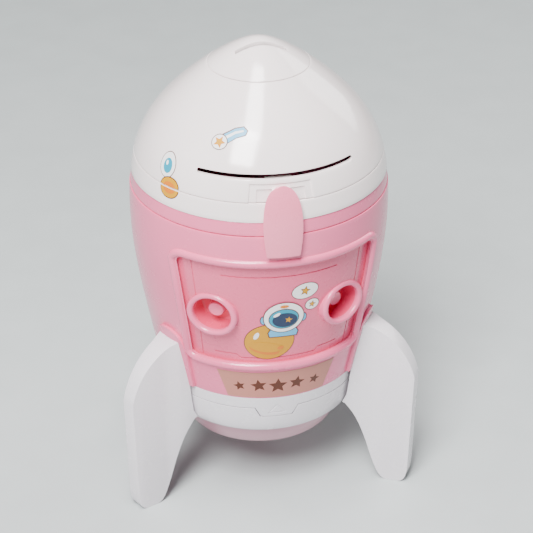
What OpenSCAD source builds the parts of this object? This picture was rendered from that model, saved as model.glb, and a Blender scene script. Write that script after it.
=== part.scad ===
// Rocket-shaped money box: a tapered barrel on three fins, with a hinged nose lid,
// a coin slot in the nose cap, a banknote slot in the lid and a snap latch in front.
// The front looks along -Y. The origin is on the floor, under the middle of the overall box.

/* [Barrel] */
// Largest outer radius of the barrel
barrel_r = 70.4; // [66:0.2:74]
// Wall thickness of the moulded shells
wall = 2.4; // [2:0.1:3]
// Height of the barrel's lower edge above the floor
barrel_low = 72; // [70:1:74]
// Height of the groove between barrel and top ring
ring_low = 179; // [178:0.5:180]
// Height where the white collar starts
collar_low = 187; // [186:0.5:188]
// Height of the tip of the nose
tip_z = 260.3; // [258:0.1:262]

/* [Lid] */
// Height of the lid's edge at the front
lid_low = 197; // [196:0.5:198]
// Height of the collar's hood at the back
hood_z = 221; // [219:0.5:222]
// Height of the seam round the nose cap
cap_low = 246.5; // [244:0.5:247]
// Length of the coin slot
coin_slot_l = 27; // [26:0.5:30]
// Width of the coin slot
coin_slot_w = 2.8; // [2.4:0.1:3.2]
// Length of the banknote slot across the front
note_slot_l = 81; // [78:0.5:84]
// Height of the banknote slot's middle
note_slot_z = 209.8; // [209:0.1:211]
// Opening of the banknote slot
note_slot_h = 2.6; // [2.2:0.1:3]

/* [Front] */
// Height of the middle of the portholes
port_z = 128; // [126:0.5:130]
// Angle of each porthole from the front
port_a = 32.3; // [30:0.1:34]
// Radius of the porthole's opening
port_r = 11; // [10:0.2:12]

/* [Fins] */
// Angle of the front fins from the front
fin_a = 60; // [58:1:62]
// Distance of a fin's outer edge from the axis
fin_r = 93; // [90:0.5:96]
// Half thickness of a fin at its outer edge
fin_t_out = 4.2; // [3.5:0.1:5]
// Half thickness of a fin at its root
fin_t_root = 9.6; // [8:0.1:11]

/* [Hidden] */
gap = 0.3;              // clearance between bodies that move
latch_off = 3.6;        // outer face of the latch, proud of the shells
latch_w = 10.4;         // half width of the latch
latch_low = 168;
latch_top = 206.8;
latch_y = 64.4;         // latch pivot, distance in front of the axis
latch_z = 203;
latch_pin_r = 0.8;
cheek_r = 1.75;         // round of the latch's lug and of the cheeks beside it
cheek_half = 4.6;       // half width over both cheeks
lug_half = 2.6;
hinge_y = 58.8;         // lid hinge, distance behind the axis
hinge_z = 221.6;
hinge_pin_r = 1.5;
knuckle_r = 3.1;
knuckle_half = 4.7;     // half length of the middle knuckle
hinge_half = 14;
running = 0.05;         // radial clearance of a turning fit
axis_y = (barrel_r + latch_off - fin_r) / 2;  // puts the origin under the middle of the box
frame_off = 1.7;        // how far the front frame stands proud
frame_w = 4.6;
panel_low = 94.5;
panel_top = 164.5;
fin_angles = [-fin_a, fin_a, 180];
fin_screw_z = [80, 94];
fin_screw_r = 1.25;
$fn = 96;

// ---- outline of the rocket, as cubic curves [radius, height] ----
function bez(p, u) = pow(1 - u, 3) * p[0] + 3 * u * pow(1 - u, 2) * p[1]
    + 3 * u * u * (1 - u) * p[2] + pow(u, 3) * p[3];
barrel_curve = [[56.8, barrel_low], [62.5, 103], [barrel_r, 135], [barrel_r, 166]];
shoulder_curve = [[barrel_r, 166], [barrel_r, 194], [66, 211], [48, 229]];
nose_curve = [[48, 229], [36, 241], [12, tip_z], [0, tip_z]];
band_curve = [[51.2, 47.5], [54.6, 49], [55.6, 60], [56.8, barrel_low]];
function steps(p, n) = [for (i = [0:n - 1]) bez(p, i / n)];
outline = concat(steps(band_curve, 6), steps(barrel_curve, 14), steps(shoulder_curve, 16),
    steps(nose_curve, 14), [[0, tip_z]]);
radii = [for (p = outline) [p[1], p[0]]];
function r_out(z) = z >= tip_z ? 0 : lookup(z, radii);
function r_in(z, w) = max(0, w <= 0 ? r_out(z) - w : min(r_out(z) - w, r_out(z + w)));
function between(z0, z1) = concat([z0],
    [for (p = outline) if (p[1] > z0 + 0.4 && p[1] < z1 - 0.4) p[1]], [z1]);
function down(list) = [for (i = [len(list) - 1:-1:0]) list[i]];

// a turned shell from z0 to z1, its outer face off proud of the outline
module shell(z0, z1, off = 0, w = wall) {
    zs = between(z0, z1);
    rotate_extrude() polygon(concat(
        [for (z = zs) [r_out(z) + off, z]],
        [for (z = down(zs)) [max(0.01, r_in(z, w - off)), z]]));
}
// the solid space inside the outline, grown by off
module core(z0, z1, off = 0) {
    zs = between(z0, z1);
    rotate_extrude() polygon(concat([[0, z0]], [for (z = zs) [r_out(z) + off, z]], [[0, z1]]));
}
// a prism through the front wall, from an outline [x, z]
module front_prism(points, from = 20) {
    translate([0, -from, 0]) rotate([90, 0, 0]) linear_extrude(90 - from) polygon(points);
}
module front_pad(points, r, from = 20) {
    translate([0, -from, 0]) rotate([90, 0, 0]) linear_extrude(90 - from) round_corners(points, r);
}
// an outline whose corners are round: discs at the corners, joined along the edges
module round_corners(points, r) {
    n = len(points);
    cx = [for (p = points) p[0] - sign(p[0]) * r];
    mid = (points[0][1] + points[2][1]) / 2;
    cz = [for (p = points) p[1] - sign(p[1] - mid) * r];
    polygon([for (i = [0:n - 1]) for (k = [0:5])
        [cx[i], cz[i]] + r * corner_dir(points[i], mid, k / 5)]);
}
// unit direction on a corner's quarter arc; outlines run anticlockwise from the lower left
function corner_dir(p, mid, u) =
    let (start = p[0] < 0 ? (p[1] < mid ? 180 : 90) : (p[1] < mid ? 270 : 0))
    [cos(start + 90 * u), sin(start + 90 * u)];
function trapezium(low, top, z0, z1) = [[-low, z0], [low, z0], [top, z1], [-top, z1]];
module at(a) { rotate([0, 0, a - 90]) children(); }
module radial(a, r, z) { at(a) translate([r, 0, z]) rotate([0, 90, 0]) children(); }
module bar_x(y, z, r, x0, x1) {
    translate([x0, y, z]) rotate([0, 90, 0]) cylinder(h = x1 - x0, r = r, $fn = 48);
}

// the parting surface between collar and lid: level in front, rising to the hood behind
function ease(u) = u * u * (3 - 2 * u);
function part_z(y) = lid_low + (hood_z - lid_low) * ease(min(1, max(0, (y - 6) / 36)));
module below_parting(lift = 0) {
    ys = [-90, for (i = [0:12]) 6 + 3 * i, 90];
    translate([-90, 0, 0]) rotate([90, 0, 90]) linear_extrude(180)
        polygon(concat([[-90, 150]], [[90, 150]], [for (y = down(ys)) [y, part_z(y) + lift]]));
}

// ---- pieces ----
module body_shell() color("pink") difference() {
    body_shell_whole();
    for (a = fin_angles) for (z = fin_screw_z) radial(a, 50, z) cylinder(h = 25, r = 1.5, $fn = 32);
}
module body_shell_whole() difference() {
    union() {
        shell(barrel_low, ring_low);
        translate([0, 0, barrel_low]) difference() {      // floor flange that the bands screw to
            cylinder(h = 2.4, r = r_out(barrel_low) - 1);
            translate([0, 0, -1]) cylinder(h = 5, r = r_out(barrel_low) - 6);
        }
    }
    front_pad(window_outline(0), 4);
}
function window_outline(grow) =
    trapezium(44.6 + grow, 52.4 + grow, panel_low + 2 - grow, panel_top - 3 + grow);

module top_ring() color("pink") union() {
    shell(ring_low + 0.3, collar_low, -0.5, wall);
    shell(ring_low - 4, ring_low + 3, -wall - 0.05, 1.6);      // spigot inside the barrel
}
module collar() color("white") difference() {
    intersection() { shell(collar_low, hood_z + 1); below_parting(); }
    bar_x(hinge_y, hinge_z, knuckle_r + 0.6, -knuckle_half - gap, knuckle_half + gap);
}
module lid_dome() color("white") difference() {
    shell(lid_low, cap_low);
    below_parting(0.35);
    note_slot();
    step_recess(trapezium(18.2, 15.8, lid_low - 1, 206.6), 0.6);
    step_recess(trapezium(13.6, 12.4, lid_low - 1, 203.9), 1.2);
    latch_window();
    for (s = [-1, 1]) translate([s * (hinge_half + knuckle_half) / 2, 0, 0])
        bar_x(hinge_y, hinge_z, knuckle_r + 0.6, -5.3, 5.3);
}
module step_recess(points, depth) intersection() {
    shell(lid_low - 1, 208, 1, 1 + depth);
    front_prism(points, 50);
}
module note_slot() {
    half = note_slot_l / 2 - note_slot_h / 2;
    translate([-half, -85, note_slot_z - note_slot_h / 2]) cube([2 * half, 65, note_slot_h]);
    for (s = [-1, 1]) translate([s * half, -20, note_slot_z]) rotate([90, 0, 0])
        cylinder(h = 65, r = note_slot_h / 2, $fn = 24);
}
module nose_cap() color("white") difference() {
    union() {
        shell(cap_low + 0.25, tip_z);
        translate([0, 0, cap_low - 3]) difference() {          // spigot that plugs into the lid
            cylinder(h = 5.4, r = r_in(cap_low, wall) - 0.05);
            translate([0, 0, -1]) cylinder(h = 8, r = r_in(cap_low, wall) - 2.4);
        }
    }
    translate([-coin_slot_l / 2, -6 - coin_slot_w / 2, 235]) cube([coin_slot_l, coin_slot_w, 40]);
}
// hole in the lid, hidden under the latch, for the cheeks and for the swing of the lug
module latch_window() {
    translate([-cheek_half, -80, latch_z - 2.4]) cube([2 * cheek_half, 30, 4.3]);
    bar_x(-latch_y, latch_z, 2.9, -lug_half - 0.2, lug_half + 0.2);
}
module latch_mount() color("white") difference() {
    union() {
        intersection() {                                          // plate behind the lid's wall
            translate([-7, -80, latch_z - 4.8]) cube([14, 24, 9]);
            core(lid_low + 0.4, 212, -wall - 0.05);
        }
        intersection() {                                          // block that fills the hole
            translate([-cheek_half + 0.05, -80, latch_z - 2.35]) cube([2 * cheek_half - 0.1, 24, 4.2]);
            core(lid_low + 0.4, 212, -1.3);
        }
        bar_x(-latch_y, latch_z, cheek_r, -cheek_half + 0.05, cheek_half - 0.05);
    }
    bar_x(-latch_y, latch_z, 2.9, -lug_half - 0.2, lug_half + 0.2);
    translate([-lug_half - 0.2, -80, latch_z - 2.9]) cube([2 * lug_half + 0.4, 80 - latch_y, 5.8]);
    bar_x(-latch_y, latch_z, latch_pin_r + 0.01, -cheek_half, cheek_half);
}
// right half of the latch's outline, from its foot to its tip
latch_half = concat([[0, latch_low]],
    steps([[6.8, latch_low], [8.2, latch_low], [8.8, latch_low + 0.6], [8.9, latch_low + 2.2]], 4),
    steps([[8.9, latch_low + 2.2], [latch_w + 0.3, 181], [latch_w + 0.5, 190], [9.4, 196.5]], 7),
    steps([[9.4, 196.5], [8.2, 203], [4.6, latch_top], [0, latch_top]], 8), [[0, latch_top]]);
module latch_outline() {
    half = latch_half;
    polygon(concat(half, [for (i = [len(half) - 2:-1:1]) [-half[i][0], half[i][1]]]));
}
module latch() color("pink") difference() {
    union() {
        intersection() {
            shell(latch_low - 1, latch_top + 1, latch_off, 2.4);
            translate([0, -50, 0]) rotate([90, 0, 0]) linear_extrude(40) latch_outline();
        }
        bar_x(-latch_y, latch_z, cheek_r, -lug_half, lug_half);   // lug that turns on the pin
        intersection() {
            translate([-lug_half, -80, latch_z - cheek_r]) cube([2 * lug_half, 80 - latch_y, 2 * cheek_r]);
            core(lid_low, 212, 2);
        }
        intersection() {                                          // nib in front of the catch
            shell(181.4, 183.6, 2, 1.7);
            front_prism(trapezium(4, 4, 181, 184), 50);
        }
    }
    bar_x(-latch_y, latch_z, latch_pin_r + running, -20, 20);
}
module latch_pin() color("silver") bar_x(-latch_y, latch_z, latch_pin_r, -cheek_half + 0.2, cheek_half - 0.2);
module latch_catch() color("pink") intersection() {
    shell(184, 186, 0.7, 1.2);
    front_prism(trapezium(4, 4, 183, 187), 50);
}
module hinge_leaf_lid() color("white") difference() {
    union() {
        bar_x(hinge_y, hinge_z, knuckle_r, -knuckle_half, knuckle_half);
        translate([-knuckle_half, hinge_y - 7.5, hinge_z + 0.2])
            cube([2 * knuckle_half, 7.5, knuckle_r - 0.2]);
        intersection() {                                          // pad that lies on the lid's back
            shell(hood_z + 0.6, hood_z + 12, 1.4, 1.4);
            translate([-knuckle_half, 20, 0]) cube([2 * knuckle_half, 60, 300]);
        }
    }
    core(hood_z - 6, hood_z + 20, 0.02);
    bar_x(hinge_y, hinge_z, hinge_pin_r + running, -20, 20);
}
module hinge_leaf_collar() color("white") difference() {
    for (s = [-1, 1]) translate([s * (hinge_half + knuckle_half + gap) / 2, 0, 0]) {
        half = (hinge_half - knuckle_half - gap) / 2;
        bar_x(hinge_y, hinge_z, knuckle_r, -half, half);
        intersection() {
            shell(hood_z - 11, hood_z, 1.4, 1.4);
            translate([-half, 20, 0]) cube([2 * half, 60, 300]);
        }
        translate([-half, hinge_y - 1, hinge_z - 7]) cube([2 * half, knuckle_r + 1, 7]);
    }
    core(hood_z - 20, hood_z + 0.6, 0.02);
    core(hood_z + 0.6, hood_z + 12, 0.35);
    bar_x(hinge_y, hinge_z, hinge_pin_r + 0.01, -20, 20);
}
module hinge_pin() color("silver") bar_x(hinge_y, hinge_z, hinge_pin_r, -hinge_half, hinge_half);

module front_panel() color("pink") difference() {
    intersection() {
        shell(panel_low - 3, panel_top + 2, -wall - 0.05, 2);
        front_prism(window_outline(2.6), 20);
    }
    for (a = [-port_a, port_a]) radial(a, 40, port_z) cylinder(h = 40, r = port_r + 3.8);
    panel_groove(trapezium(31, 31, 153.2, 154.2));
    panel_groove(trapezium(31, 31, 101.4, 102.2));
    panel_groove(trapezium(22, 22, 99, 102.2));
    for (s = [-1, 1]) panel_groove([[s * 39, 96], [s * 39.8, 96], [s * 46.6, 162], [s * 45.8, 162]]);
}
module panel_groove(points) intersection() {
    shell(panel_low - 3, panel_top + 2, 0, wall + 0.6);
    front_prism(points, 20);
}
module front_frame() color("pink") intersection() {
    shell(panel_low - 4, panel_top + 4, frame_off, frame_off + wall);
    difference() {
        front_pad(window_outline(frame_w - 1), 7);
        front_pad(window_outline(-0.1), 4);
        core(90, 170, 0.03);
    }
}
module port_cup(a) color("pink") difference() {
    radial(a, 52.2, port_z) cylinder(h = 13.6, r = port_r + 1.95);
    radial(a, 54.2, port_z) cylinder(h = 20, r = port_r);
}
module port_ring(a) color("pink") radial(a, 0, port_z) rotate_extrude() {
    intersection() {                                              // rolled bead on the rim
        translate([port_r + 1.6, 65.9]) circle(r = 1.7, $fn = 40);
        translate([port_r - 0.5, 65.85]) square([5, 4]);
    }
    translate([port_r + 2, 61]) square([1.7, 5]);                 // skirt that closes the panel's hole
}
module port_post(a) color("pink") radial(a, 54.25, port_z) cylinder(h = 6.55, r = 4);

module label_plate() color("tan") intersection() {
    shell(barrel_low + 0.6, panel_low - 3.9, 0.35, 0.3);
    front_prism(trapezium(28, 33, barrel_low + 0.6, panel_low - 2), 20);
}
// tongue of the upper band, an outline [x, z] grown by g
function tab(g) = [[-11.6 - g, barrel_low - 7],
    [-11.6 - g, barrel_low - 7.6], [-8.4 - g, barrel_low - 13 - g],
    [8.4 + g, barrel_low - 13 - g], [11.6 + g, barrel_low - 7.6], [11.6 + g, barrel_low - 7]];
module upper_band() color("white") intersection() {
    shell(barrel_low - 13, barrel_low - 0.05);
    union() {
        translate([-90, -90, barrel_low - 7.2]) cube([180, 180, 20]);
        front_prism(tab(0), 20);
    }
}
module lower_band() color("white") difference() {
    shell(47.5, barrel_low - 7.6);
    front_prism(tab(0.35), 20);
}
module base_plug() color("pink") rotate_extrude() polygon([[0, 31.5], [36.5, 31.5], [39.6, 32.2],
    [42, 34], [48.6, 46], [48.6, 46.6], [46.2, 46.6], [40, 35.4], [38.6, 34.3], [36, 33.9], [0, 33.9]]);
// sleeve that stands on the dish's rim and plugs into the band
module base_sleeve() color("pink") translate([0, 0, 46.65]) difference() {
    cylinder(h = 13.35, r = 48.6);
    translate([0, 0, -1]) cylinder(h = 16, r = 46.2);
}

// ---- fins: a side outline crossed with a plan outline ----
fin_top_curve = [[58, 103], [72, 101], [88, 92], [fin_r, 71]];
fin_side = concat([[44, 51.5], [44, 103]], steps(fin_top_curve, 10), [[fin_r, 71]],
    steps([[91, 12], [90.6, 3], [89, 0], [85, 0]], 5), [[85, 0]],
    steps([[79, 0], [74, 0], [71, 9], [67, 24]], 6),
    steps([[67, 24], [63, 37], [60, 46], [52, 51.5]], 6));
function fin_half(r) = r < 58 ? fin_t_root : r > 72 ? fin_t_out + (fin_r - r) / (fin_r - 72) * 1.8
    : fin_t_root + (fin_t_out + 1.8 - fin_t_root) * ease((r - 58) / 14);
fin_rs = [44, 58, 60, 62, 64, 66, 68, 70, 72, fin_r + 1];
module fin(a) color("white") difference() {
    intersection() {
        at(a) rotate([90, 0, 0]) linear_extrude(30, center = true) polygon(fin_side);
        at(a) linear_extrude(120) polygon(concat([for (r = fin_rs) [r, fin_half(r)]],
            [for (r = down(fin_rs)) [r, -fin_half(r)]]));
    }
    core(47.5, 110, 1.75);
    core(40, 47.6, 3);
    for (z = fin_screw_z) radial(a, 50, z) cylinder(h = 20, r = fin_screw_r + 0.01, $fn = 32);
}
module fin_socket(a) color("pink") difference() {
    intersection() {
        difference() { core(73, 108, 1.7); core(72, 109, 0.02); }
        at(a) rotate([90, 0, 90]) linear_extrude(90) polygon([[-11.4, 73], [11.4, 73], [11.4, 97],
            [8.2, 104], [3.4, 107], [-3.4, 107], [-8.2, 104], [-11.4, 97]]);
    }
    front_pad(window_outline(frame_w - 0.9), 7);
    for (z = fin_screw_z) radial(a, 50, z) cylinder(h = 25, r = 1.5, $fn = 32);
}
module fin_screws() color("silver") for (a = fin_angles) for (z = fin_screw_z)
    radial(a, r_out(z) - wall - 2.5, z) {
        cylinder(h = 1.8, r = 3, $fn = 32);
        cylinder(h = 12, r = fin_screw_r, $fn = 32);
    }

// every piece stands on the axis, which is moved by axis_y
translate([0, axis_y, 0]) body_shell();
translate([0, axis_y, 0]) top_ring();
translate([0, axis_y, 0]) collar();
translate([0, axis_y, 0]) lid_dome();
translate([0, axis_y, 0]) nose_cap();
translate([0, axis_y, 0]) latch_mount();
translate([0, axis_y, 0]) latch();
translate([0, axis_y, 0]) latch_pin();
translate([0, axis_y, 0]) latch_catch();
translate([0, axis_y, 0]) hinge_leaf_lid();
translate([0, axis_y, 0]) hinge_leaf_collar();
translate([0, axis_y, 0]) hinge_pin();
translate([0, axis_y, 0]) front_panel();
translate([0, axis_y, 0]) front_frame();
translate([0, axis_y, 0]) port_cup(-port_a);  // port_cup_left
translate([0, axis_y, 0]) port_cup(port_a);  // port_cup_right
translate([0, axis_y, 0]) port_ring(-port_a);  // port_ring_left
translate([0, axis_y, 0]) port_ring(port_a);  // port_ring_right
translate([0, axis_y, 0]) port_post(-port_a);  // port_post_left
translate([0, axis_y, 0]) port_post(port_a);  // port_post_right
translate([0, axis_y, 0]) label_plate();
translate([0, axis_y, 0]) upper_band();
translate([0, axis_y, 0]) lower_band();
translate([0, axis_y, 0]) base_plug();
translate([0, axis_y, 0]) base_sleeve();
translate([0, axis_y, 0]) fin(fin_angles[0]);  // fin_left
translate([0, axis_y, 0]) fin(fin_angles[1]);  // fin_right
translate([0, axis_y, 0]) fin(fin_angles[2]);  // fin_rear
translate([0, axis_y, 0]) fin_socket(fin_angles[0]);  // fin_socket_left
translate([0, axis_y, 0]) fin_socket(fin_angles[1]);  // fin_socket_right
translate([0, axis_y, 0]) fin_socket(fin_angles[2]);  // fin_socket_rear
translate([0, axis_y, 0]) fin_screws();
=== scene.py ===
import bpy
import math
from mathutils import Matrix, Vector


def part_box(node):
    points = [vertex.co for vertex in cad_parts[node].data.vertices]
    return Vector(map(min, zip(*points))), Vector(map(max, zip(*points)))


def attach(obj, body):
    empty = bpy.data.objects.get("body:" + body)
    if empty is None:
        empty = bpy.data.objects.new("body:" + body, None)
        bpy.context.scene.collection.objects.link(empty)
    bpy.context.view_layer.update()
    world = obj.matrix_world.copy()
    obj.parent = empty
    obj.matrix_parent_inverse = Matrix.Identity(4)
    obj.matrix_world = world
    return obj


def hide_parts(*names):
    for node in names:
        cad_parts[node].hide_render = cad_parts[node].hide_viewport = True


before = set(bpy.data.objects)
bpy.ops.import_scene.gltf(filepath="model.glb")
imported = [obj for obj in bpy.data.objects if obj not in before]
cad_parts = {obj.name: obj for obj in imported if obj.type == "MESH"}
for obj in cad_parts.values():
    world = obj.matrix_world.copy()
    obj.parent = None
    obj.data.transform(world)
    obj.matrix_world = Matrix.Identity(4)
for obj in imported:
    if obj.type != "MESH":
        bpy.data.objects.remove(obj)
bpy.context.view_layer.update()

mm = 0.001
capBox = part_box("nose_cap")
axisY = (capBox[0][1] + capBox[1][1]) / 2 / mm      # the rocket's axis stands behind the origin of the frame
print("frame loaded, axis at", round(axisY, 2))

# the rocket's outline as cubic curves of radius and height, in millimetres
rocket = {
    "curves": [
        [(51.2, 47.5), (54.6, 49), (55.6, 60), (56.8, 72)],
        [(56.8, 72), (62.5, 103), (70.4, 135), (70.4, 166)],
        [(70.4, 166), (70.4, 194), (66, 211), (48, 229)],
        [(48, 229), (36, 241), (12, 260.3), (0, 260.3)],
    ],
    "wall": 2.4,
    "turnSteps": 160,
}


def onCurve(p, u):
    v = 1 - u
    return tuple(v ** 3 * p[0][i] + 3 * u * v * v * p[1][i] + 3 * u * u * v * p[2][i] + u ** 3 * p[3][i]
                 for i in (0, 1))


outline = [onCurve(curve, i / 22) for curve in rocket["curves"] for i in range(22)] + [(0, 260.3)]


def radiusAt(z):
    for (r0, z0), (r1, z1) in zip(outline, outline[1:]):
        if z0 <= z <= z1 and z1 > z0:
            return r0 + (r1 - r0) * (z - z0) / (z1 - z0)
    return outline[0][0] if z < outline[0][1] else 0


def wallProfile(low, high, proud=0.0, thick=None):
    thick = rocket["wall"] if thick is None else thick
    heights = [low] + [z for r, z in outline if low + 0.5 < z < high - 0.3] + [high]
    inner = []
    for z in reversed(heights):
        level = radiusAt(z) + proud - thick
        above = radiusAt(min(260.2, z + thick - proud)) if thick > proud else level      # keeps the wall thick under the nose
        inner.append((max(0.02, min(level, above)), z))
    return [(radiusAt(z) + proud, z) for z in heights] + inner


# small helpers for modelling
def pickAll():
    bpy.ops.mesh.select_all(action="SELECT")


def wire(name, points, closed=True):
    # one vertex, extruded from point to point; stays in edit mode
    bpy.ops.object.select_all(action="DESELECT")
    bpy.ops.mesh.primitive_circle_add(vertices=3, radius=mm, location=(0, 0, 0))
    piece = bpy.context.object
    piece.name = name
    bpy.ops.object.mode_set(mode="EDIT")
    pickAll()
    bpy.ops.mesh.merge(type="CENTER")
    bpy.ops.transform.translate(value=Vector(points[0]) * mm)
    ends = list(points[1:]) + ([points[0]] if closed else [])
    for start, end in zip(points, ends):
        bpy.ops.mesh.extrude_vertices_move(TRANSFORM_OT_translate={"value": (Vector(end) - Vector(start)) * mm})
    pickAll()
    bpy.ops.mesh.remove_doubles(threshold=0.004 * mm)
    return piece


def done(piece):
    bpy.ops.object.mode_set(mode="OBJECT")
    return piece


def turned(name, profile, steps=None, closed=True):
    # a profile of radius and height, spun about the vertical
    piece = wire(name, [(r, 0, z) for r, z in profile], closed)
    bpy.ops.mesh.spin(steps=steps or rocket["turnSteps"], angle=2 * math.pi, center=(0, 0, 0), axis=(0, 0, 1))
    pickAll()
    bpy.ops.mesh.remove_doubles(threshold=0.012 * mm)
    bpy.ops.mesh.normals_make_consistent(inside=False)
    return done(piece)


def prism(name, corners, yNear, yFar):
    # an outline of x and z, extruded from front to back
    piece = wire(name, [(x, yNear, z) for x, z in corners])
    bpy.ops.mesh.edge_face_add()
    bpy.ops.mesh.extrude_region_move(TRANSFORM_OT_translate={"value": (0, (yFar - yNear) * mm, 0)})
    pickAll()
    bpy.ops.mesh.normals_make_consistent(inside=False)
    return done(piece)


def block(name, low, high):
    return prism(name, [(low[0], low[2]), (high[0], low[2]), (high[0], high[2]), (low[0], high[2])], low[1], high[1])


def only(piece):
    bpy.ops.object.select_all(action="DESELECT")
    piece.select_set(True)
    bpy.context.view_layer.objects.active = piece


def applied(piece, kind, **settings):
    only(piece)
    modifier = piece.modifiers.new(kind.title(), kind)
    for key, value in settings.items():
        setattr(modifier, key, value)
    bpy.ops.object.modifier_apply(modifier=modifier.name)


def cut(piece, cutter, how="DIFFERENCE", keep=False):
    applied(piece, "BOOLEAN", object=cutter, operation=how, solver="EXACT")
    if not keep:
        bpy.data.objects.remove(cutter)


def rounded(piece, width, segments=3, angle=32):
    applied(piece, "BEVEL", width=width * mm, segments=segments, limit_method="ANGLE",
            angle_limit=math.radians(angle), use_clamp_overlap=True, miter_outer="MITER_ARC", harden_normals=False)


def twin(piece, name):
    copy = piece.copy()
    copy.data = piece.data.copy()
    copy.name = name
    bpy.context.collection.objects.link(copy)
    return copy


def swung(piece, degrees):
    # turns the mesh about the rocket's axis; nought is the front
    piece.data.transform(Matrix.Rotation(math.radians(degrees), 4, "Z"))
    return piece


def settled(piece, body, material, nodes=(), smooth=34):
    # puts the mesh on the rocket's axis, smooths it and hands it to its body
    only(piece)
    piece.data.transform(Matrix.Translation((0, axisY * mm, 0)))
    piece.data.materials.clear()
    piece.data.materials.append(material)
    bpy.ops.object.shade_smooth_by_angle(angle=math.radians(smooth))
    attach(piece, body)
    if nodes:
        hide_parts(*nodes)
    return piece


# materials
def fromHex(text):
    parts = [int(text[i:i + 2], 16) / 255 for i in (1, 3, 5)]
    return tuple(c / 12.92 if c <= 0.04045 else ((c + 0.055) / 1.055) ** 2.4 for c in parts) + (1,)


def addNode(tree, kind, settings=None, links=None):
    node = tree.nodes.new(kind)
    for key, value in (settings or {}).items():
        if key in node.inputs:
            node.inputs[key].default_value = value
        else:
            setattr(node, key, value)
    for key, source in (links or {}).items():
        tree.links.new(source, node.inputs[key])
    return node


def mouldedAbs(name, main, shade, gloss=(0.2, 0.3), coat=0.25, peel=0.02):
    # injection-moulded ABS: even colour, a clear gloss with a faint orange peel and fine rub marks
    material = bpy.data.materials.new(name)
    material.use_nodes = True
    tree = material.node_tree
    tree.nodes.clear()
    place = addNode(tree, "ShaderNodeTexCoord").outputs["Object"]
    flow = addNode(tree, "ShaderNodeTexNoise", {"Scale": 28.0, "Detail": 3.0}, {"Vector": place})       # 36 mm flow clouds
    tone = addNode(tree, "ShaderNodeMapRange", {"From Min": 0.35, "From Max": 0.7, "To Min": 0.0, "To Max": 1.0},
                   {"Value": flow.outputs[0]})
    colour = addNode(tree, "ShaderNodeMix", {"data_type": "RGBA"}, {"Factor": tone.outputs[0]})
    colour.inputs[6].default_value = fromHex(main)
    colour.inputs[7].default_value = fromHex(shade)
    rub = addNode(tree, "ShaderNodeTexNoise", {"Scale": 160.0, "Detail": 3.0, "Roughness": 0.5},
                  {"Vector": place})                                                                    # 6 mm rub marks
    rough = addNode(tree, "ShaderNodeMapRange",
                    {"From Min": 0.3, "From Max": 0.75, "To Min": gloss[0], "To Max": gloss[1]}, {"Value": rub.outputs[0]})
    skin = addNode(tree, "ShaderNodeTexNoise", {"Scale": 700.0, "Detail": 0.0}, {"Vector": place})      # 1.4 mm orange peel
    bump = addNode(tree, "ShaderNodeBump", {"Strength": peel, "Distance": 0.0002}, {"Height": skin.outputs[0]})
    shader = addNode(tree, "ShaderNodeBsdfPrincipled",
                     {"IOR": 1.53, "Coat Weight": coat, "Coat Roughness": 0.12, "Coat IOR": 1.5},
                     {"Base Color": colour.outputs[2], "Roughness": rough.outputs[0], "Normal": bump.outputs[0]})
    addNode(tree, "ShaderNodeOutputMaterial", {}, {"Surface": shader.outputs[0]})
    return material


def printedFilm(name, ink, shade, grain=420.0):
    # printed vinyl: a flat ink with a slight mottle under a satin film
    material = bpy.data.materials.new(name)
    material.use_nodes = True
    tree = material.node_tree
    tree.nodes.clear()
    place = addNode(tree, "ShaderNodeTexCoord").outputs["Object"]
    mottle = addNode(tree, "ShaderNodeTexNoise", {"Scale": grain, "Detail": 4.0}, {"Vector": place})
    colour = addNode(tree, "ShaderNodeMix", {"data_type": "RGBA"}, {"Factor": mottle.outputs[0]})
    colour.inputs[6].default_value = fromHex(ink)
    colour.inputs[7].default_value = fromHex(shade)
    bump = addNode(tree, "ShaderNodeBump", {"Strength": 0.04, "Distance": 0.0001}, {"Height": mottle.outputs[0]})
    shader = addNode(tree, "ShaderNodeBsdfPrincipled", {"Roughness": 0.36, "IOR": 1.45},
                     {"Base Color": colour.outputs[2], "Normal": bump.outputs[0]})
    addNode(tree, "ShaderNodeOutputMaterial", {}, {"Surface": shader.outputs[0]})
    return material


def drawnSteel(name):
    # drawn steel pin: grey metal with fine lines along its length
    material = bpy.data.materials.new(name)
    material.use_nodes = True
    tree = material.node_tree
    tree.nodes.clear()
    place = addNode(tree, "ShaderNodeTexCoord").outputs["Object"]
    along = addNode(tree, "ShaderNodeMapping", {"Scale": (60.0, 2500.0, 2500.0)}, {"Vector": place})    # 0.4 mm draw lines
    lines = addNode(tree, "ShaderNodeTexNoise", {"Scale": 1.0, "Detail": 2.0}, {"Vector": along.outputs[0]})
    rough = addNode(tree, "ShaderNodeMapRange", {"To Min": 0.25, "To Max": 0.5}, {"Value": lines.outputs[0]})
    shader = addNode(tree, "ShaderNodeBsdfPrincipled", {"Base Color": fromHex("#c9c9cb"), "Metallic": 1.0},
                     {"Roughness": rough.outputs[0]})
    addNode(tree, "ShaderNodeOutputMaterial", {}, {"Surface": shader.outputs[0]})
    return material


pinkAbs = mouldedAbs("mouldedPinkAbs", "#f07098", "#ec6b94")
latchAbs = mouldedAbs("mouldedPalePinkAbs", "#f384a0", "#f17f9c", gloss=(0.25, 0.34))
panelAbs = mouldedAbs("mouldedPanelPinkAbs", "#ea6388", "#e65e84", gloss=(0.24, 0.32))
whiteAbs = mouldedAbs("mouldedWhiteAbs", "#fbefee", "#f8ebea", gloss=(0.12, 0.18), coat=0.5, peel=0.015)
finAbs = mouldedAbs("mouldedFinWhiteAbs", "#e4dee3", "#e1dae0", gloss=(0.22, 0.3))
baseAbs = mouldedAbs("mouldedBasePinkAbs", "#c893a1", "#c48e9d", gloss=(0.28, 0.38))
steel = drawnSteel("drawnSteel")
print("materials ready")

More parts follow.
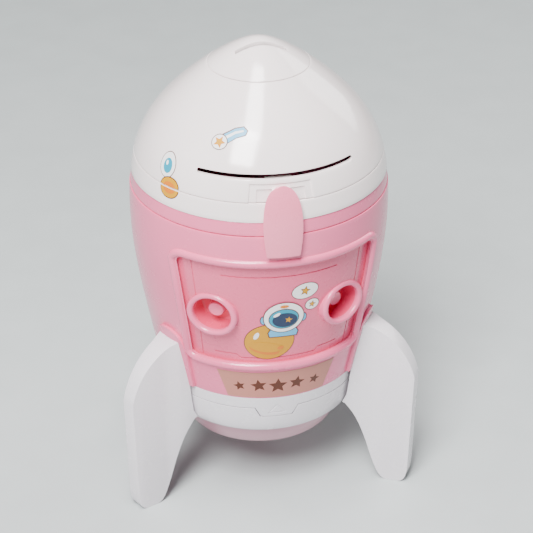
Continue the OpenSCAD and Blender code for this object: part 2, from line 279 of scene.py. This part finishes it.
# barrel, ring and collar
barrel = {"low": 72, "high": 179, "edge": 0.5}
window = {"low": 96.5, "top": 161.5, "wideLow": 44.6, "wideTop": 52.4}


def roundedWindow(grow, r, n=7):
    # the window's outline with round corners, anticlockwise from the lower left
    wideLow, wideTop = window["wideLow"] + grow, window["wideTop"] + grow
    low, top = window["low"] - grow, window["top"] + grow
    points = []
    for x, z, start in ((wideLow - r, low + r, -90), (wideTop - r, top - r, 0),
                        (-wideTop + r, top - r, 90), (-wideLow + r, low + r, 180)):
        for i in range(n):
            t = math.radians(start + 90 * i / (n - 1))
            points.append((x + r * math.cos(t), z + r * math.sin(t)))
    return points


barrelShell = turned("barrelShell", wallProfile(barrel["low"], barrel["high"]))
cut(barrelShell, prism("windowCutter", roundedWindow(-0.2, 3.8), -90, -20))
rounded(barrelShell, barrel["edge"])
settled(barrelShell, "body", pinkAbs, ["body_shell"])

ring = {"low": 179.4, "top": 187, "sunk": 0.35, "edge": 0.5}
ringProfile = [(radiusAt(183) - 2.9, ring["low"])]
ringProfile += [(radiusAt(z) - ring["sunk"], z) for z in (ring["low"], 181, 183, 185, ring["top"])]
ringProfile += [(radiusAt(ring["top"]) - 2.6, ring["top"])]
topRing = turned("topRing", ringProfile)
rounded(topRing, ring["edge"])
settled(topRing, "body", pinkAbs, ["top_ring"])
print("barrel and ring ready")


def easeInOut(u):
    return u * u * (3 - 2 * u)


parting = {"front": 197, "hood": 221, "from": 6, "run": 36, "gap": 0.55}


def partingAt(y, lift):
    rise = easeInOut(min(1, max(0, (y - parting["from"]) / parting["run"])))
    return parting["front"] + (parting["hood"] - parting["front"]) * rise + lift


def belowParting(lift):
    # everything under the edge where lid and collar meet: level in front, rising to the hood behind
    ys = [-95] + [6 + 1.5 * i for i in range(25)] + [95]
    top = [(y, partingAt(y, lift)) for y in ys]
    piece = wire("partingCutter", [(-95, y, z) for y, z in [(-95, 150)] + top + [(95, 150)]])
    bpy.ops.mesh.edge_face_add()
    bpy.ops.mesh.extrude_region_move(TRANSFORM_OT_translate={"value": (190 * mm, 0, 0)})
    pickAll()
    bpy.ops.mesh.normals_make_consistent(inside=False)
    return done(piece)


collar = turned("collar", wallProfile(187.2, 222))
cut(collar, belowParting(0), "INTERSECT")
cut(collar, block("knuckleCutter", (-5, 54.9, 217.9), (5, 70, 230)))
rounded(collar, 0.14, 2)
settled(collar, "body", whiteAbs, ["collar"])

# lid and nose cap
lid = {"low": 195, "seam": 246.5, "seamGap": 0.38, "slotHalf": 40.5, "slotZ": 209.8, "slotR": 1.3, "hingeX": 9.35,
       "recesses": [(18.2, 15.8, 206.6, 0.6), (13.6, 12.4, 203.9, 1.2)]}
lidDome = turned("lidDome", wallProfile(lid["low"], lid["seam"]))
cut(lidDome, belowParting(parting["gap"]))
for low, top, high, deep in lid["recesses"]:
    bite = turned("recessCutter", wallProfile(lid["low"] - 1, 208.5, 2, 2 + deep))
    cut(bite, prism("recessOutline", [(-low, 190), (low, 190), (top, high), (-top, high)], -90, -40), "INTERSECT")
    cut(lidDome, bite)
capsule = []
for side in (1, -1):
    for i in range(9):
        t = math.radians(-90 + 180 * i / 8 + (0 if side > 0 else 180))
        capsule.append((side * (lid["slotHalf"] - lid["slotR"]) + lid["slotR"] * math.cos(t),
                        lid["slotZ"] + lid["slotR"] * math.sin(t)))
cut(lidDome, prism("noteSlotCutter", capsule, -90, -30))
for side in (-1, 1):
    hingeX = side * lid["hingeX"]
    cut(lidDome, block("hingeCutter", (hingeX - 5.3, 54.6, 215), (hingeX + 5.3, 72, 225.4)))
rounded(lidDome, 0.12, 2)
settled(lidDome, "lid", whiteAbs, ["lid_dome"])

noseCap = turned("noseCap", wallProfile(lid["seam"] + lid["seamGap"], 260.25), steps=128)
cut(noseCap, block("coinSlotCutter", (-13.5, -7.4, 235), (13.5, -4.6, 270)))
rounded(noseCap, 0.15, 2)
settled(noseCap, "lid", whiteAbs)
capSpigot = turned("capSpigot", [(23.9, 243.5), (24.1, 248.6), (21.6, 248.6), (21.6, 243.5)], steps=96)
rounded(capSpigot, 0.4)
settled(capSpigot, "lid", whiteAbs)
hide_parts("nose_cap")
print("collar, lid and nose cap ready")

# latch: a bowed plate wrapped on the shells
latch = {"low": 168.9, "top": 206.8, "proud": 1.25, "thick": 2.35, "across": 14, "along": 46}
latchCurves = [
    [(6.8, 168), (8.3, 168), (8.85, 168.6), (8.95, 170.4)],
    [(8.95, 170.4), (10.7, 181), (10.9, 190), (9.4, 196.5)],
    [(9.4, 196.5), (8.2, 203), (4.6, 206.8), (0, 206.8)],
]
latchHalf = [onCurve(curve, i / 24) for curve in latchCurves for i in range(25)]


def latchHalfAt(z):
    for (x0, z0), (x1, z1) in zip(latchHalf, latchHalf[1:]):
        if z0 <= z <= z1 and z1 > z0:
            return x0 + (x1 - x0) * (z - z0) / (z1 - z0)
    return 0.3


bpy.ops.object.select_all(action="DESELECT")
bpy.ops.mesh.primitive_grid_add(x_subdivisions=latch["across"], y_subdivisions=latch["along"], size=2)
latchPlate = bpy.context.object
latchPlate.name = "latchPlate"
for v in latchPlate.data.vertices:
    u, t = v.co.x, (v.co.y + 1) / 2
    z = latch["low"] + (latch["top"] - latch["low"]) * (1 - (1 - t) ** 1.6)       # rows crowd towards the round tip
    x = u * max(0.6, latchHalfAt(z))
    r = radiusAt(z) + latch["proud"] + latch["thick"] - 0.35 * u * u
    v.co = Vector((x, -math.sqrt(r * r - x * x), z)) * mm
applied(latchPlate, "SOLIDIFY", thickness=latch["thick"] * mm, offset=-1)
only(latchPlate)
bpy.ops.object.mode_set(mode="EDIT")
pickAll()
bpy.ops.mesh.normals_make_consistent(inside=False)
bpy.ops.object.mode_set(mode="OBJECT")
rounded(latchPlate, 0.9, 4, 40)
settled(latchPlate, "latch", latchAbs, smooth=50)
latchLug = block("latchLug", (-2.6, -67, 201.3), (2.6, -62.7, 204.7))
rounded(latchLug, 0.4)
settled(latchLug, "latch", latchAbs)
latchNib = prism("latchNib", [(-4, 181.4), (4, 181.4), (3.7, 183.6), (-3.7, 183.6)], -72.4, -70.5)
rounded(latchNib, 0.25)
settled(latchNib, "latch", latchAbs)
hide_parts("latch")
print("latch ready")

# front: rail, panel and portholes
front = {"railR": 2.35, "panelBack": 2.45, "panelThick": 2, "portZ": 128, "portAngle": 32.3, "portSquash": 0.87, "grooveR": 0.45}


def onSurface(x, z, proud):
    r = radiusAt(z) + proud
    return (x, -math.sqrt(max(0.0, r * r - x * x)), z)


def rail(name, points, radius, closed=True, sides=3):
    # a bead of round section along points
    piece = done(wire(name, points, closed))
    only(piece)
    bpy.ops.object.convert(target="CURVE")
    piece = bpy.context.object
    piece.data.bevel_depth = radius * mm
    piece.data.bevel_resolution = sides
    piece.data.use_fill_caps = not closed
    bpy.ops.object.convert(target="MESH")
    piece = bpy.context.object
    bpy.ops.object.mode_set(mode="EDIT")
    pickAll()
    bpy.ops.mesh.remove_doubles(threshold=0.01 * mm)
    bpy.ops.mesh.normals_make_consistent(inside=False)
    return done(piece)


def dense(points, step=2.0, closed=True):
    out = []
    for a, b in zip(points, points[1:] + (points[:1] if closed else [])):
        n = max(1, int(math.dist(a, b) / step))
        out += [tuple(a[k] + (b[k] - a[k]) * i / n for k in (0, 1)) for i in range(n)]
    return out if closed else out + [points[-1]]


railLine = [onSurface(x, z, -0.6) for x, z in dense(roundedWindow(1.7, 5.5, 9))]
frameRail = rail("frameRail", railLine, front["railR"], sides=6)
settled(frameRail, "body", pinkAbs, ["front_frame"], smooth=60)


def portPiece(name, profile, steps=72):
    # a turned piece, a little flattened, whose axis points out of the front at the porthole's height
    piece = turned(name, profile, steps)
    flat = Matrix.Scale(front["portSquash"], 4, (0, 0, 1))
    raised = Matrix.Translation((0, 0, front["portZ"] * mm))
    piece.data.transform(raised @ flat @ Matrix.Rotation(math.pi / 2, 4, "X"))
    return piece


panelRows = [91.5 + 1.5 * i for i in range(51)]
panelFace = [(radiusAt(z) - front["panelBack"], z) for z in panelRows]
panelInside = [(radiusAt(z) - front["panelBack"] - front["panelThick"], z) for z in reversed(panelRows)]
panel = turned("panel", panelFace + panelInside, steps=300)
cut(panel, prism("panelOutline", roundedWindow(2.4, 4.0), -90, -20), "INTERSECT")
grooves = [
    [(-31, 153.8), (31, 153.8)],
    [(-33, 102), (-22, 102), (-20, 99.8), (20, 99.8), (22, 102), (33, 102)],
    [(-38.2, 97), (-45.2, 161.5)],
    [(38.2, 97), (45.2, 161.5)],
]
for line in grooves:
    path = [onSurface(x, z, -front["panelBack"] - 0.2) for x, z in dense(line, 2.5, False)]
    cut(panel, rail("grooveCutter", path, front["grooveR"], False, 2))
portHole = portPiece("portHoleCutter", [(0.02, 40), (14.4, 40), (14.4, 80), (0.02, 80)], 64)
for side in (-1, 1):
    hole = twin(portHole, "portHole")
    swung(hole, side * front["portAngle"])
    cut(panel, hole)
bpy.data.objects.remove(portHole)
settled(panel, "body", panelAbs, ["front_panel"], smooth=25)


bead = {"r": 12.7, "out": 65.85, "round": 1.75}      # the rounded lip of a porthole's ring
beadTurns = [math.radians(t) for t in range(-20, 201, 20)]
ringSection = [(bead["r"] + bead["round"] * math.cos(t), bead["out"] + bead["round"] * math.sin(t)) for t in beadTurns]
portRing = portPiece("portRing", ringSection + [(11.0, 64.6), (13.0, 63), (13.0, 61), (14.6, 61)])
cupSection = [(0.02, 52.2), (12.2, 52.2), (12.9, 53), (12.9, 65), (11.05, 65), (11.0, 56.2), (10.4, 54.7), (9, 54.2),
              (0.02, 54.2)]
portCup = portPiece("portCup", cupSection)
postSection = [(0.02, 54.2), (5.6, 54.2), (4.8, 54.9), (4.6, 55.8), (4.5, 60.1), (4.1, 60.65), (3.5, 60.8), (3.0, 60.5),
               (0.02, 60.4)]
portPost = portPiece("portPost", postSection, 48)
# pink deepened as painted shade for the recess inside each porthole's cup
cupPaintedShadePinkAbs = mouldedAbs("mouldedPinkAbsPaintedCupShade", "#e6456f", "#e24069", gloss=(0.22, 0.3))
portPieces = ((portRing, "port_ring", pinkAbs), (portCup, "port_cup", cupPaintedShadePinkAbs), (portPost, "port_post", pinkAbs))
for source, nodeName, material in portPieces:
    for side, word in ((-1, "left"), (1, "right")):
        copy = swung(twin(source, source.name + word.title()), side * front["portAngle"])
        settled(copy, "body", material, [nodeName + "_" + word], smooth=40)
    bpy.data.objects.remove(source)
print("front ready")

# band in two parts, with the tongue and its mark
band = {"low": 47.5, "high": 71.9, "seam": 64.6, "tongueLow": 59.2, "edge": 0.15, "gap": 0.55}


def tonguePoints(grow):
    wide, narrow, low = 11.6 + grow, 8.6 + grow, band["tongueLow"] - grow
    return [(-wide, 80), (-wide, band["seam"]), (-narrow, low), (narrow, low), (wide, band["seam"]), (wide, 80)]


wholeBand = turned("wholeBand", wallProfile(band["low"], band["high"]))
lowerBand = twin(wholeBand, "lowerBand")
upperBand = twin(wholeBand, "upperBand")
bpy.data.objects.remove(wholeBand)
cut(lowerBand, block("seamCutter", (-80, -80, band["seam"]), (80, 80, 90)))
cut(lowerBand, prism("tongueCutter", tonguePoints(band["gap"] * 0.8), -90, -20))
upperPart = block("seamCutter", (-80, -80, band["seam"] + band["gap"]), (80, 80, 90))
cut(upperPart, prism("tongue", tonguePoints(0), -85, -20), "UNION")
cut(upperBand, upperPart, "INTERSECT")
markLine = [(-4.6, 61.6), (4.6, 61.6), (0, 66.9)]
cut(upperBand, rail("markCutter", [onSurface(x, z, 0.1) for x, z in dense(markLine, 1.2)], 0.45, True, 2))
rounded(lowerBand, band["edge"])
rounded(upperBand, band["edge"])
settled(lowerBand, "body", finAbs, ["lower_band"])
settled(upperBand, "body", finAbs, ["upper_band"])

baseProfile = [
    (0.02, 31.5), (34.5, 31.5), (38.4, 31.8), (41, 33), (43, 35.2), (48.4, 45.6), (48.6, 46.6), (48.6, 60),      # outside
    (46.2, 60), (46.2, 46.6), (40, 35.4), (38.6, 34.3), (36, 33.9), (0.02, 33.9),                               # inside
]
basePlug = turned("basePlug", baseProfile)
rounded(basePlug, 0.4)
settled(basePlug, "body", baseAbs, ["base_plug", "base_sleeve"])
print("band and base ready")

# fins
fin = {"outHalf": 4.2, "rootHalf": 9.6, "outer": 93, "edge": 2.0}
finOutline = [(48, 51.5), (48, 103)]
finOutline += [onCurve([(58, 103), (72, 101), (88, 92), (93, 71)], i / 18) for i in range(18)] + [(93, 71)]  # shoulder
finOutline += [onCurve([(91, 12), (90.6, 3), (89, 0), (85, 0)], i / 7) for i in range(8)]    # foot's outer corner
finOutline += [onCurve([(79, 0), (74, 0), (71, 9), (67, 24)], i / 8) for i in range(8)]      # foot's inner corner
finOutline += [onCurve([(67, 24), (63, 37), (60, 46), (52, 51.5)], i / 8) for i in range(8)]  # inner edge


def finHalf(r):
    if r < 56:
        return fin["rootHalf"]
    if r > 74:
        return fin["outHalf"] + (fin["outer"] - r) / 19 * 1.5
    return fin["rootHalf"] + (fin["outHalf"] + 1.5 - fin["rootHalf"]) * easeInOut((r - 56) / 18)


finRear = wire("finRear", [(r, -5, z) for r, z in finOutline])
bpy.ops.mesh.edge_face_add()
bpy.ops.mesh.extrude_region_move(TRANSFORM_OT_translate={"value": (0, 10 * mm, 0)})
for r in list(range(50, 76, 2)) + [79, 83, 87]:
    pickAll()
    bpy.ops.mesh.bisect(plane_co=(r * mm, 0, 0), plane_no=(1, 0, 0))
pickAll()
bpy.ops.mesh.normals_make_consistent(inside=False)
done(finRear)
for v in finRear.data.vertices:
    v.co.y = math.copysign(finHalf(v.co.x / mm), v.co.y) * mm
rounded(finRear, fin["edge"], 4, 50)
finRear.data.transform(Matrix.Rotation(math.pi / 2, 4, "Z"))       # from +X to the back
coreRows = (47.5, 55, 63, 72, 80, 88, 96, 104, 110)
rootCore = turned("rootCore", [(0.02, 40)] + [(radiusAt(z) + 1.6, z) for z in coreRows] + [(0.02, 110)], steps=96)
cut(finRear, rootCore)
for name, node, turn in (("finLeft", "fin_left", 120), ("finRight", "fin_right", -120)):
    settled(swung(twin(finRear, name), turn), "body", finAbs, [node], smooth=38)
settled(finRear, "body", finAbs, ["fin_rear"], smooth=38)

# root pads: a soft swelling of the barrel round each fin's root
pad = {"half": 12.2, "low": 72.6, "top": 108.5, "proud": 1.9}
padRear = turned("padRear", wallProfile(pad["low"], pad["top"], pad["proud"], pad["proud"] - 0.05), steps=240)
padOutline = [(-pad["half"], pad["low"]), (pad["half"], pad["low"]), (pad["half"], 96)] + \
    [onCurve([(pad["half"], 96), (pad["half"], 104), (7, 108.4), (0, 108.4)], i / 8) for i in range(1, 9)]
padOutline += [(-x, z) for x, z in reversed(padOutline[2:-1])]
cut(padRear, prism("padCutter", padOutline, 20, 90), "INTERSECT")
rounded(padRear, 1.3, 4, 50)
for name, node, turn in (("padLeft", "fin_socket_left", 120), ("padRight", "fin_socket_right", -120)):
    settled(swung(twin(padRear, name), turn), "body", pinkAbs, [node], smooth=50)
settled(padRear, "body", pinkAbs, ["fin_socket_rear"], smooth=50)
print("fins ready")

# frame nodes that stay, with softened edges
kept = {"latch_mount": whiteAbs, "hinge_leaf_lid": whiteAbs, "hinge_leaf_collar": whiteAbs, "latch_catch": pinkAbs,
        "latch_pin": steel, "hinge_pin": steel, "fin_screws": steel}
for node, material in kept.items():
    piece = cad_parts[node]
    for i in range(len(piece.material_slots)):
        piece.material_slots[i].material = material
    weld = piece.modifiers.new("Weld", "WELD")
    weld.merge_threshold = 0.01 * mm
    soft = piece.modifiers.new("Soften", "BEVEL")
    soft.width, soft.segments = 0.3 * mm, 2
    soft.limit_method, soft.angle_limit = "ANGLE", math.radians(40)

# stickers
inkBrown = printedFilm("inkBrown", "#5a2203", "#501d02")
inkYellow = printedFilm("inkYellow", "#d29600", "#cc8e00")
inkOrange = printedFilm("inkOrange", "#d97a10", "#d27008")
inkWhite = printedFilm("inkWhite", "#f7f4f4", "#f1eeee")
inkBlue = printedFilm("inkBlue", "#63b4dc", "#58abd4")
inkTeal = printedFilm("inkTeal", "#1b98b4", "#128fac")
inkNavy = printedFilm("inkNavy", "#1d3050", "#182a48")
labelFilm = printedFilm("labelFilm", "#c07d70", "#bb7769", 90.0)
film = {"thick": 0.03, "step": 0.06, "cell": 2.4}


def disc(x, z, rx, rz, turn=0.0, n=36):
    t0 = math.radians(turn)
    points = [(rx * math.cos(2 * math.pi * i / n), rz * math.sin(2 * math.pi * i / n)) for i in range(n)]
    return [(x + a * math.cos(t0) - b * math.sin(t0), z + a * math.sin(t0) + b * math.cos(t0)) for a, b in points]


def halfDisc(rx, rz, up, n=18):
    return [(rx * math.cos(math.pi * i / n), up * rz * math.sin(math.pi * i / n)) for i in range(n + 1)]


def star(x, z, r, turn=0.0):
    points = []
    for i in range(10):
        reach = r if i % 2 == 0 else r * 0.46
        t = math.radians(36 * i + turn)
        points.append((x + reach * math.sin(t), z + reach * math.cos(t)))
    return points


def sticker(name, shape, spot, lift, material, body, nodes=()):
    # a flat shape, sliced into cells, laid on the shell at an angle and height, lift above it
    angle, z0 = spot
    piece = wire(name, [(x, 0, z) for x, z in shape])
    bpy.ops.mesh.edge_face_add()
    xs, zs = [x for x, z in shape], [z for x, z in shape]
    for axis, values in (((1, 0, 0), xs), ((0, 0, 1), zs)):
        at = min(values) + film["cell"]
        while at < max(values):
            pickAll()
            bpy.ops.mesh.bisect(plane_co=Vector(axis) * at * mm, plane_no=axis)
            at += film["cell"]
    done(piece)
    slope = (radiusAt(z0 + 1) - radiusAt(z0 - 1)) / 2
    for v in piece.data.vertices:
        z = z0 + v.co.z / mm / math.sqrt(1 + slope * slope)
        r = radiusAt(z) + lift
        turn = math.radians(angle) + v.co.x / mm / radiusAt(z0)
        v.co = Vector((r * math.sin(turn), -r * math.cos(turn), z)) * mm
    applied(piece, "SOLIDIFY", thickness=film["thick"] * mm, offset=-1)
    only(piece)
    bpy.ops.object.mode_set(mode="EDIT")
    pickAll()
    bpy.ops.mesh.normals_make_consistent(inside=False)
    done(piece)
    return settled(piece, body, material, nodes, smooth=40)


# label strip with a row of stars
labelShape = [(-28, -9.4), (28, -9.4), (33, 9.0), (-33, 9.0)]
sticker("labelStrip", labelShape, (0, 81.9), 0.12, labelFilm, "body", ["label_plate"])
for i, r in enumerate((3.4, 4.6, 5.4, 4.6, 3.4)):
    shape = star((i - 2) * 10.5, 0.4 if i % 2 else -0.2, r, 8 * (i - 2))
    sticker("labelStar" + str(i), shape, (0, 81), 0.18, inkBrown, "body")
print("label ready")
panelProud = -front["panelBack"]
moonSpot, helmetSpot = (-5.0, 111.0), (1.6, 127.5)


def layered(name, layers, spot, base, body):
    # each layer is a shape and an ink, laid over the one before
    for i, (shape, ink) in enumerate(layers):
        sticker(name + str(i), shape, spot, base + film["step"] * (i + 1), ink, body)


# yellow moon with craters on the front panel
layered("moon", [
    (disc(0, 0, 14.2, 12.4, 8), inkBrown),
    (disc(0, 0, 13.8, 12.0, 8), inkYellow),
    (disc(-2.6, -5.4, 8.8, 3.2, -14), inkOrange),
    (disc(-2.0, -3.6, 9.4, 3.4, -10), inkYellow),
    (disc(6.4, -4.4, 1.9, 1.2, 20), inkOrange),
    (disc(-7.2, 4.6, 1.3, 2.6, -24), inkWhite),
], moonSpot, panelProud, "body")
# empty space helmet with a dark visor
layered("helmet", [
    (disc(-11.2, -1.5, 2.1, 3.0, 0), inkBrown),
    (disc(11.2, -1.5, 2.1, 3.0, 0), inkBrown),
    (disc(-11.2, -1.5, 1.6, 2.5, 0), inkBlue),
    (disc(11.2, -1.5, 1.6, 2.5, 0), inkBlue),
    ([(-8.2, -13.4), (8.2, -13.4), (9.0, -10.2), (7.4, -7.5), (-7.4, -7.5), (-9.0, -10.2)], inkBrown),
    ([(-7.7, -12.9), (7.7, -12.9), (8.4, -10.2), (7.0, -8), (-7.0, -8), (-8.4, -10.2)], inkBlue),
    (disc(0, 0, 11.6, 10.2), inkBrown),
    (disc(0, 0, 11.1, 9.7), inkWhite),
    (disc(0, -0.8, 8.6, 6.7), inkBrown),
    (disc(0, -0.8, 8.1, 6.2), inkTeal),
    (disc(0.6, -1.7, 7.0, 4.7), inkNavy),
    (disc(-4.0, 2.2, 2.2, 0.9, 32), inkWhite),
    (star(2.6, -1.6, 2.1, 10), inkYellow),
    (disc(0, 7.6, 2.4, 0.9), inkOrange),
], helmetSpot, panelProud, "body")
# two clouds with a star each
clouds = (("cloudLarge", (11.3, 143.0), 8.0, 5.2), ("cloudSmall", (15.2, 133.4), 4.4, 3.7))
for name, spot, wide, tall in clouds:
    layered(name, [
        (disc(0, 0, wide, tall, 6), inkBrown),
        (disc(0, 0, wide - 0.45, tall - 0.45, 6), inkWhite),
        (star(0, 0, tall * 0.62, 12), inkBrown),
        (star(0, 0, tall * 0.46, 12), inkYellow),
    ], spot, panelProud, "body")
# comet on the lid
layered("comet", [
    ([(-2.0, -3.2), (4.2, 1.6), (9.2, 3.4), (10.2, 6.0), (7.6, 8.2), (2.4, 7.0), (-3.6, 3.2)], inkBrown),
    ([(-1.8, -2.7), (4.0, 2.0), (8.8, 3.8), (9.6, 5.9), (7.4, 7.7), (2.6, 6.5), (-3.2, 2.8)], inkBlue),
    ([(-1.4, 0.6), (3.4, 4.0), (7.8, 5.4), (7.4, 6.3), (2.9, 5.2), (-2.2, 2.0)], inkWhite),
    (disc(-4.2, -1.2, 4.3, 4.3), inkBrown),
    (disc(-4.2, -1.2, 3.9, 3.9), inkWhite),
    (star(-4.2, -1.2, 3.4, 20), inkOrange),
    (star(-4.2, -1.2, 2.7, 20), inkYellow),
], (-27.5, 224.5), 0.0, "lid")
# a ringed planet that the lid's edge cuts in two
layered("planet", [
    (disc(0, 0, 5.6, 7.0, 8), inkBrown),
    (disc(0, 0, 5.2, 6.6, 8), inkWhite),
    (disc(0.2, -0.4, 3.0, 4.0, 8), inkTeal),
    (disc(-0.7, 1.0, 0.8, 1.3, 8), inkWhite),
], (-57.5, 207.5), 0.0, "lid")
layered("ringPlanetLow", [
    (halfDisc(6.6, 5.4, -1), inkBrown),
    (halfDisc(6.1, 4.9, -1), inkYellow),
    (halfDisc(4.0, 2.6, -1), inkOrange),
], (-53.5, 196.7), 0.0, "body")
layered("ringPlanetHigh", [
    (halfDisc(6.6, 5.0, 1), inkBrown),
    (halfDisc(6.1, 4.5, 1), inkYellow),
    (halfDisc(4.0, 2.4, 1), inkOrange),
], (-53.5, 197.9), 0.3, "lid")
print("stickers ready")

# floor, light and camera
studio = {"key": 66.0, "top": 36.0, "fill": 2.6, "rim": 8.0, "sky": 0.09}
bpy.ops.object.select_all(action="DESELECT")
bpy.ops.mesh.primitive_plane_add(size=60, location=(0, 0, 0))
floor = bpy.context.object
floor.name = "floor"
paper = mouldedAbs("paleStudioPaper", "#bcc2c2", "#b8bebe", gloss=(0.7, 0.8), coat=0.0, peel=0.0)
floor.data.materials.append(paper)

world = bpy.data.worlds.new("studioSky")
bpy.context.scene.world = world
world.use_nodes = True
world.node_tree.nodes["Background"].inputs["Color"].default_value = fromHex("#eef2f5")
world.node_tree.nodes["Background"].inputs["Strength"].default_value = studio["sky"]


def softBox(name, spot, aim, size, watts):
    bpy.ops.object.light_add(type="AREA", location=spot)
    lamp = bpy.context.object
    lamp.name = name
    lamp.data.shape = "RECTANGLE"
    lamp.data.size, lamp.data.size_y = size
    lamp.data.energy = watts
    lamp.rotation_euler = (Vector(aim) - Vector(spot)).to_track_quat("-Z", "Y").to_euler()
    return lamp


middle = Vector((0, axisY * mm, 0.14))
softBox("keyBox", (-0.55, -1.0, 1.5), middle, (0.6, 0.8), studio["key"])
softBox("topBox", (-0.16, -0.42, 1.75), middle, (0.42, 0.95), studio["top"])
softBox("fillBox", (-1.3, -0.5, 0.6), middle, (0.9, 1.1), studio["fill"])
softBox("rimBox", (1.1, 0.6, 0.9), middle, (0.6, 0.9), studio["rim"])

lens = {"azimuth": -10.28, "elevation": 29.77, "distance": 1112.66, "aimZ": 122.1, "aside": 4.18, "focal": 135.1}
a, e = math.radians(lens["azimuth"]), math.radians(lens["elevation"])
aim = Vector((0, axisY, lens["aimZ"])) + lens["aside"] * Vector((math.cos(a), math.sin(a), 0))
spot = aim + lens["distance"] * Vector((math.sin(a) * math.cos(e), -math.cos(a) * math.cos(e), math.sin(e)))
bpy.ops.object.camera_add(location=spot * mm, rotation=(aim - spot).to_track_quat("-Z", "Y").to_euler())
camera = bpy.context.object
camera.name = "studioCamera"
camera.data.lens = lens["focal"]
camera.data.sensor_width = 36
camera.data.clip_end = 20
bpy.context.scene.camera = camera

print("camera and lights ready")
